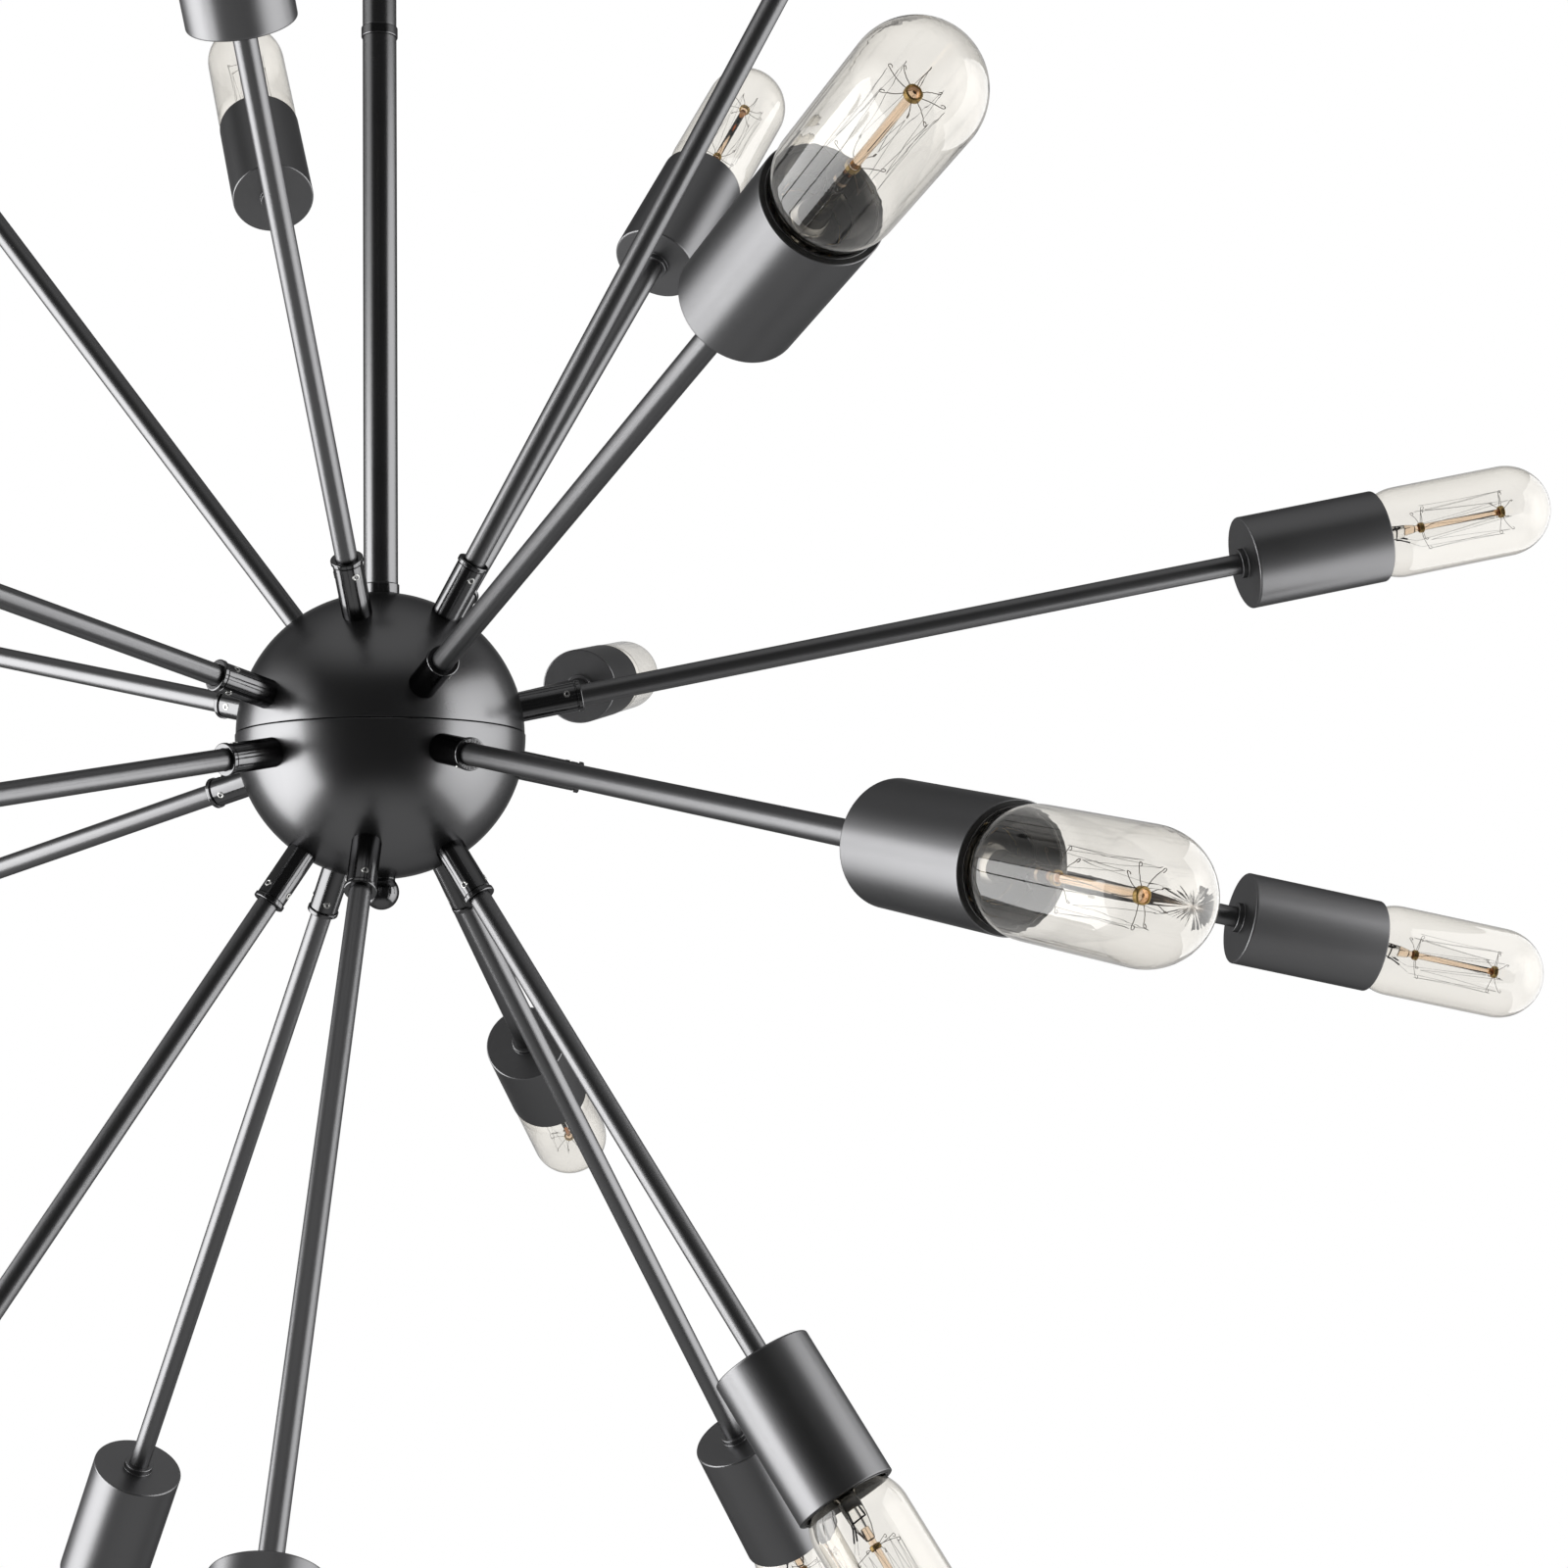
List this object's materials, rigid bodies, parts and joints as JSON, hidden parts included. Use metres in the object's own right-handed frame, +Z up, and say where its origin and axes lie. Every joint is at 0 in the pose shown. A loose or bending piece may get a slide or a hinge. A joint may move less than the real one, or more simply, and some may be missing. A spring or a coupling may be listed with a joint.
{
  "type": "sputnik chandelier",
  "caption": "Ceiling-hung sputnik chandelier: a metal globe on a rod, with straight arms in all directions that end in deep cups and long tubular filament bulbs.",
  "frame": {"origin": "middle of the crossbar's top face, on the ceiling, between the two screw slots", "axes": "+Z up, square to the ceiling and along the rod; +X along the crossbar; -Y towards the side that the pictures show"},
  "size_m": [1.0875, 1.0802, 1.2004],
  "materials": {
    "satin_black": "satin black metal with a soft sheen",
    "gloss_black": "glossier black on turned fittings",
    "plated_steel": "zinc-plated steel",
    "socket_black": "moulded phenolic",
    "cap_gold": "brass-coloured screw shell",
    "bulb_glass": "clear thin glass with a faint warm tint",
    "stem_glass": "amber-tinted glass stem"
  },
  "bodies": {
    "ceiling_mount": {"crossbar": "plated_steel", "canopy": "satin_black", "canopy_studs": "plated_steel", "canopy_cap_nuts": "gloss_black", "canopy_hub": "satin_black", "hub_ring_nut": "satin_black"},
    "swivel": {"swivel_fork": "satin_black", "swivel_nut": "plated_steel", "swivel_pin": "plated_steel"},
    "pendant": {"swivel_tongue": "satin_black", "rod_upper": "satin_black", "rod_coupling": "gloss_black", "rod_lower": "satin_black", "neck_ring": "gloss_black", "globe_upper": "satin_black", "globe_lower": "satin_black", "tie_rod": "plated_steel", "tie_nut": "plated_steel", "bottom_finial": "gloss_black", "upper_collars": "gloss_black", "upper_arm_tubes": "satin_black", "upper_lamp_cups": "satin_black", "upper_sockets": "socket_black", "upper_screw_caps": "cap_gold", "upper_bulbs": "bulb_glass", "upper_bulb_stems": "stem_glass", "upper_middle_collars": "gloss_black", "upper_middle_arm_tubes": "satin_black", "upper_middle_lamp_cups": "satin_black", "upper_middle_sockets": "socket_black", "upper_middle_screw_caps": "cap_gold", "upper_middle_bulbs": "bulb_glass", "upper_middle_bulb_stems": "stem_glass", "lower_middle_collars": "gloss_black", "lower_middle_arm_tubes": "satin_black", "lower_middle_lamp_cups": "satin_black", "lower_middle_sockets": "socket_black", "lower_middle_screw_caps": "cap_gold", "lower_middle_bulbs": "bulb_glass", "lower_middle_bulb_stems": "stem_glass", "lower_collars": "gloss_black", "lower_arm_tubes": "satin_black", "lower_lamp_cups": "satin_black", "lower_sockets": "socket_black", "lower_screw_caps": "cap_gold", "lower_bulbs": "bulb_glass", "lower_bulb_stems": "stem_glass"}
  },
  "joints": [
    {"name": "swivel_turn", "type": "hinge", "parent": "ceiling_mount", "child": "swivel", "pos_m": [0, 0, -0.037], "axis": [0, 0, 1], "range_deg": [-175, 175]},
    {"name": "swivel_tilt", "type": "hinge", "parent": "swivel", "child": "pendant", "pos_m": [0, 0, -0.0553], "axis": [0, 1, 0], "range_deg": [-30, 30]}
  ]
}
